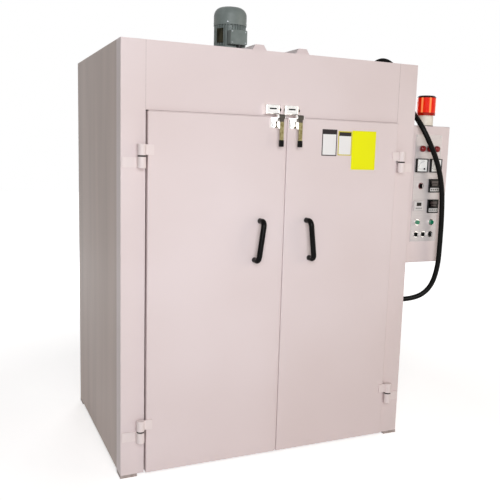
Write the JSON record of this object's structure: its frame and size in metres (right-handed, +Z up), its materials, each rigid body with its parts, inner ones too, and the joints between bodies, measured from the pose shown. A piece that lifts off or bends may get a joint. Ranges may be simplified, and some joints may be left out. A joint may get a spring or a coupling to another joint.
{
  "type": "industrial oven",
  "caption": "Floor-standing hot-air oven with two insulated swing doors, roof fan motor, side control box with beacon and a hanging black conduit.",
  "frame": {"origin": "centre of the floor pan's underside, on the workshop floor, in the middle of the cabinet's width and depth", "axes": "+X to the right of someone facing the doors, +Y from the doors to the back, +Z up"},
  "size_m": [1.844, 1.1655, 2.338],
  "materials": {
    "body_paint": "satin",
    "liner_steel": "satin",
    "foot_steel": "matte",
    "hinge_paint": "satin",
    "handle_black": "gloss",
    "latch_chrome": "polished",
    "motor_paint": "satin",
    "fan_steel": "satin",
    "gasket_rubber": "matte",
    "plate_grey": "satin",
    "lamp_red": "gloss",
    "meter_dark": "gloss",
    "controller_black": "satin",
    "timer_white": "satin",
    "bezel_chrome": "polished",
    "knob_black": "satin",
    "button_green": "gloss",
    "beacon_ivory": "satin",
    "beacon_red": "gloss",
    "conduit_black": "satin",
    "gland_black": "satin"
  },
  "bodies": {
    "cabinet": {"back_wall": "body_paint", "beacon_base": "beacon_ivory", "beacon_lens": "beacon_red", "ceiling_baffle": "liner_steel", "conduit": "conduit_black", "conduit_glands": "gland_black", "control_box": "body_paint", "duct_panels": "liner_steel", "fan_wheel": "fan_steel", "floor_pan": "liner_steel", "foot_plates": "foot_steel", "head_stop": "liner_steel", "header_panel": "body_paint", "indicator_lamps": "lamp_red", "instrument_plate": "plate_grey", "latch_keepers": "latch_chrome", "left_jamb": "body_paint", "left_jamb_hinge_halves": "hinge_paint", "left_wall": "body_paint", "motor_fan_cowl": "motor_paint", "motor_flange": "motor_paint", "motor_frame": "motor_paint", "motor_stool": "motor_paint", "motor_terminal_box": "motor_paint", "panel_meters": "meter_dark", "right_jamb": "body_paint", "right_jamb_hinge_halves": "hinge_paint", "right_wall": "body_paint", "roof_panel": "body_paint", "roof_ribs": "body_paint", "switch_bezels": "bezel_chrome", "temperature_controllers": "controller_black", "timer": "timer_white"},
    "left_door": {"left_door_panel": "body_paint", "left_door_plug": "liner_steel", "left_door_gasket": "gasket_rubber", "left_door_handle": "handle_black", "left_door_hinge_halves": "hinge_paint", "left_latch_base": "latch_chrome"},
    "left_lever": {"left_latch_lever": "latch_chrome"},
    "right_door": {"right_door_panel": "body_paint", "right_door_plug": "liner_steel", "right_door_gasket": "gasket_rubber", "right_door_handle": "handle_black", "right_door_hinge_halves": "hinge_paint", "right_latch_base": "latch_chrome"},
    "right_lever": {"right_latch_lever": "latch_chrome"},
    "key_knob": {"key_switch": "knob_black"},
    "left_knob": {"left_selector": "knob_black"},
    "middle_knob": {"middle_selector": "knob_black"},
    "right_knob": {"right_selector": "knob_black"},
    "left_button": {"left_push_button": "button_green"},
    "right_button": {"right_push_button": "button_green"}
  },
  "joints": [
    {"name": "left_door_hinge", "type": "hinge", "parent": "cabinet", "child": "left_door", "pos_m": [-0.694, -0.565, 0.9], "axis": [0, 0, -1], "range_deg": [0, 165]},
    {"name": "right_door_hinge", "type": "hinge", "parent": "cabinet", "child": "right_door", "pos_m": [0.694, -0.565, 0.9], "axis": [0, 0, 1], "range_deg": [0, 165]},
    {"name": "left_latch_pivot", "type": "hinge", "parent": "left_door", "child": "left_lever", "pos_m": [-0.027, -0.589, 1.712], "axis": [-1, 0, 0], "range_deg": [0, 95]},
    {"name": "right_latch_pivot", "type": "hinge", "parent": "right_door", "child": "right_lever", "pos_m": [0.073, -0.589, 1.712], "axis": [-1, 0, 0], "range_deg": [0, 95]},
    {"name": "key_switch_turn", "type": "hinge", "parent": "cabinet", "child": "key_knob", "pos_m": [0.8785, -0.493, 1.386], "axis": [0, 1, 0], "range_deg": [0, 90]},
    {"name": "left_selector_turn", "type": "hinge", "parent": "cabinet", "child": "left_knob", "pos_m": [0.8675, -0.493, 1.119], "axis": [0, 1, 0], "range_deg": [-45, 45]},
    {"name": "middle_selector_turn", "type": "hinge", "parent": "cabinet", "child": "middle_knob", "pos_m": [0.915, -0.493, 1.119], "axis": [0, 1, 0], "range_deg": [-45, 45]},
    {"name": "right_selector_turn", "type": "hinge", "parent": "cabinet", "child": "right_knob", "pos_m": [0.9625, -0.493, 1.119], "axis": [0, 1, 0], "range_deg": [-45, 45]},
    {"name": "left_button_push", "type": "slide", "parent": "cabinet", "child": "left_button", "axis": [0, 1, 0], "range_m": [0, 0.004], "stiffness_N_per_m": 400},
    {"name": "right_button_push", "type": "slide", "parent": "cabinet", "child": "right_button", "axis": [0, 1, 0], "range_m": [0, 0.004], "stiffness_N_per_m": 400}
  ]
}
